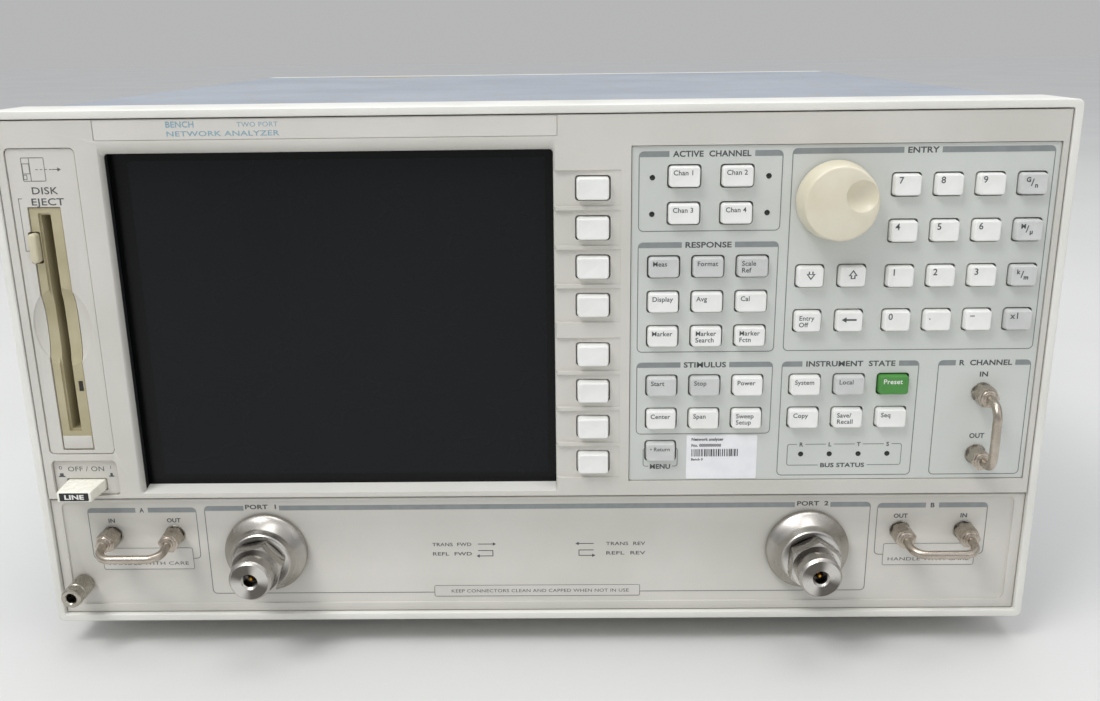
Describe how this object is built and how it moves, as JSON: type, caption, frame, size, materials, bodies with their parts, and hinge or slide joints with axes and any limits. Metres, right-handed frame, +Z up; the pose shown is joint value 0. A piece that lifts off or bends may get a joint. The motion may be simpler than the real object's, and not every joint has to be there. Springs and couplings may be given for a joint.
{
  "type": "vector network analyzer",
  "caption": "Bench vector network analyzer in a full-width five-unit cabinet: flat display, softkeys, keypad, knob, disk drive and two coaxial test ports.",
  "frame": {"origin": "on the bench, under the middle of the whole instrument", "axes": "+X to the right seen from the front, +Y to the rear, +Z up; the front panel faces -Y"},
  "size_m": [0.425, 0.4824, 0.2342],
  "materials": {
    "frame_paint": "bright off-white textured enamel on cast aluminium",
    "panel_paint": "warm light grey satin enamel",
    "overlay_film": "cool light grey printed polycarbonate film on aluminium",
    "cover_paint": "blue-grey textured paint on aluminium sheet",
    "key_white": "near-white satin moulded key caps",
    "key_grey": "mid-grey satin moulded key caps",
    "key_green": "green satin moulded key cap",
    "knob_cream": "cream moulded plastic",
    "drive_tan": "aged beige-olive plastic drive front",
    "ivory_button": "ivory moulded plastic",
    "display_glass": "dark filter glass",
    "stainless_steel": "turned and polished stainless steel",
    "tinned_copper": "tarnished nickel and tin plate on semi-rigid copper coax",
    "circuit_board": "green solder-masked glass-epoxy board",
    "plated_sheet": "chromate-plated aluminium sheet",
    "foot_plastic": "grey moulded plastic",
    "black_plastic": "black moulded plastic"
  },
  "bodies": {
    "cabinet": {"bottom_cover": "cover_paint", "chassis": "plated_sheet", "disk_drive": "drive_tan", "display_bezel": "frame_paint", "display_window": "display_glass", "fan_frame": "black_plastic", "foot_front_left": "foot_plastic", "foot_front_right": "foot_plastic", "foot_rear_left": "foot_plastic", "foot_rear_right": "foot_plastic", "front_frame": "frame_paint", "ground_jack": "stainless_steel", "jack_bracket": "plated_sheet", "keypad_board": "circuit_board", "keypad_overlay": "overlay_film", "lcd_module": "black_plastic", "line_switch": "black_plastic", "link_a": "tinned_copper", "link_b": "tinned_copper", "link_r": "tinned_copper", "lower_front_panel": "panel_paint", "motherboard": "circuit_board", "port_1_connector": "stainless_steel", "port_2_connector": "stainless_steel", "power_supply": "plated_sheet", "rear_frame": "frame_paint", "rear_guard_left": "foot_plastic", "rear_guard_right": "foot_plastic", "rear_panel": "plated_sheet", "rf_deck": "plated_sheet", "side_cover_left": "cover_paint", "side_cover_right": "cover_paint", "strap_handle_left": "black_plastic", "strap_handle_right": "black_plastic", "top_cover": "cover_paint", "upper_front_panel": "panel_paint"},
    "softkey_1": {"softkey_1": "key_white"},
    "softkey_2": {"softkey_2": "key_white"},
    "softkey_3": {"softkey_3": "key_white"},
    "softkey_4": {"softkey_4": "key_white"},
    "softkey_5": {"softkey_5": "key_white"},
    "softkey_6": {"softkey_6": "key_white"},
    "softkey_7": {"softkey_7": "key_white"},
    "softkey_8": {"softkey_8": "key_white"},
    "channel_keys": {"channel_keys": "key_white"},
    "response_keys": {"response_keys": "key_white"},
    "stimulus_keys": {"stimulus_keys": "key_white"},
    "return_key": {"return_key": "key_grey"},
    "preset_key": {"preset_key": "key_green"},
    "state_keys": {"state_keys": "key_white"},
    "entry_keys": {"entry_keys": "key_white"},
    "edit_keys": {"edit_keys": "key_white"},
    "knob": {"knob": "knob_cream"},
    "eject_button": {"eject_button": "ivory_button"},
    "line_button": {"line_button": "ivory_button"},
    "port_1_nut": {"port_1_nut": "stainless_steel"},
    "port_2_nut": {"port_2_nut": "stainless_steel"},
    "tilt_stand_left": {"tilt_stand_left": "stainless_steel"},
    "tilt_stand_right": {"tilt_stand_right": "stainless_steel"},
    "fan_rotor": {"fan_rotor": "black_plastic"}
  },
  "joints": [
    {"name": "softkey_1_press", "type": "slide", "parent": "cabinet", "child": "softkey_1", "axis": [0, 1, 0], "range_m": [0, 0.0015], "stiffness_N_per_m": 600},
    {"name": "softkey_2_press", "type": "slide", "parent": "cabinet", "child": "softkey_2", "axis": [0, 1, 0], "range_m": [0, 0.0015], "stiffness_N_per_m": 600},
    {"name": "softkey_3_press", "type": "slide", "parent": "cabinet", "child": "softkey_3", "axis": [0, 1, 0], "range_m": [0, 0.0015], "stiffness_N_per_m": 600},
    {"name": "softkey_4_press", "type": "slide", "parent": "cabinet", "child": "softkey_4", "axis": [0, 1, 0], "range_m": [0, 0.0015], "stiffness_N_per_m": 600},
    {"name": "softkey_5_press", "type": "slide", "parent": "cabinet", "child": "softkey_5", "axis": [0, 1, 0], "range_m": [0, 0.0015], "stiffness_N_per_m": 600},
    {"name": "softkey_6_press", "type": "slide", "parent": "cabinet", "child": "softkey_6", "axis": [0, 1, 0], "range_m": [0, 0.0015], "stiffness_N_per_m": 600},
    {"name": "softkey_7_press", "type": "slide", "parent": "cabinet", "child": "softkey_7", "axis": [0, 1, 0], "range_m": [0, 0.0015], "stiffness_N_per_m": 600},
    {"name": "softkey_8_press", "type": "slide", "parent": "cabinet", "child": "softkey_8", "axis": [0, 1, 0], "range_m": [0, 0.0015], "stiffness_N_per_m": 600},
    {"name": "channel_keys_press", "type": "slide", "parent": "cabinet", "child": "channel_keys", "axis": [0, 1, 0], "range_m": [0, 0.0015], "stiffness_N_per_m": 600},
    {"name": "response_keys_press", "type": "slide", "parent": "cabinet", "child": "response_keys", "axis": [0, 1, 0], "range_m": [0, 0.0015], "stiffness_N_per_m": 600},
    {"name": "stimulus_keys_press", "type": "slide", "parent": "cabinet", "child": "stimulus_keys", "axis": [0, 1, 0], "range_m": [0, 0.0015], "stiffness_N_per_m": 600},
    {"name": "return_key_press", "type": "slide", "parent": "cabinet", "child": "return_key", "axis": [0, 1, 0], "range_m": [0, 0.0015], "stiffness_N_per_m": 600},
    {"name": "preset_key_press", "type": "slide", "parent": "cabinet", "child": "preset_key", "axis": [0, 1, 0], "range_m": [0, 0.0015], "stiffness_N_per_m": 600},
    {"name": "state_keys_press", "type": "slide", "parent": "cabinet", "child": "state_keys", "axis": [0, 1, 0], "range_m": [0, 0.0015], "stiffness_N_per_m": 600},
    {"name": "entry_keys_press", "type": "slide", "parent": "cabinet", "child": "entry_keys", "axis": [0, 1, 0], "range_m": [0, 0.0015], "stiffness_N_per_m": 600},
    {"name": "edit_keys_press", "type": "slide", "parent": "cabinet", "child": "edit_keys", "axis": [0, 1, 0], "range_m": [0, 0.0015], "stiffness_N_per_m": 600},
    {"name": "knob_turn", "type": "hinge", "parent": "cabinet", "child": "knob", "pos_m": [0.1201, -0.22025, 0.1965], "axis": [0, -1, 0], "continuous": true},
    {"name": "eject_press", "type": "slide", "parent": "cabinet", "child": "eject_button", "axis": [0, 1, 0], "range_m": [0, 0.005], "stiffness_N_per_m": 300},
    {"name": "line_press", "type": "slide", "parent": "cabinet", "child": "line_button", "axis": [0, 1, 0], "range_m": [0, 0.004], "stiffness_N_per_m": 500},
    {"name": "port_1_nut_turn", "type": "hinge", "parent": "cabinet", "child": "port_1_nut", "pos_m": [-0.1173, -0.23325, 0.0455], "axis": [0, -1, 0], "continuous": true},
    {"name": "port_2_nut_turn", "type": "hinge", "parent": "cabinet", "child": "port_2_nut", "pos_m": [0.1173, -0.23325, 0.0455], "axis": [0, -1, 0], "continuous": true},
    {"name": "tilt_stand_left_swing", "type": "hinge", "parent": "cabinet", "child": "tilt_stand_left", "pos_m": [-0.16, -0.16625, 0.00635], "axis": [-1, 0, 0], "range_deg": [0, 100]},
    {"name": "tilt_stand_right_swing", "type": "hinge", "parent": "cabinet", "child": "tilt_stand_right", "pos_m": [0.16, -0.16625, 0.00635], "axis": [-1, 0, 0], "range_deg": [0, 100]},
    {"name": "fan_spin", "type": "hinge", "parent": "cabinet", "child": "fan_rotor", "pos_m": [-0.125, 0.18975, 0.1307], "axis": [0, 1, 0], "continuous": true}
  ]
}
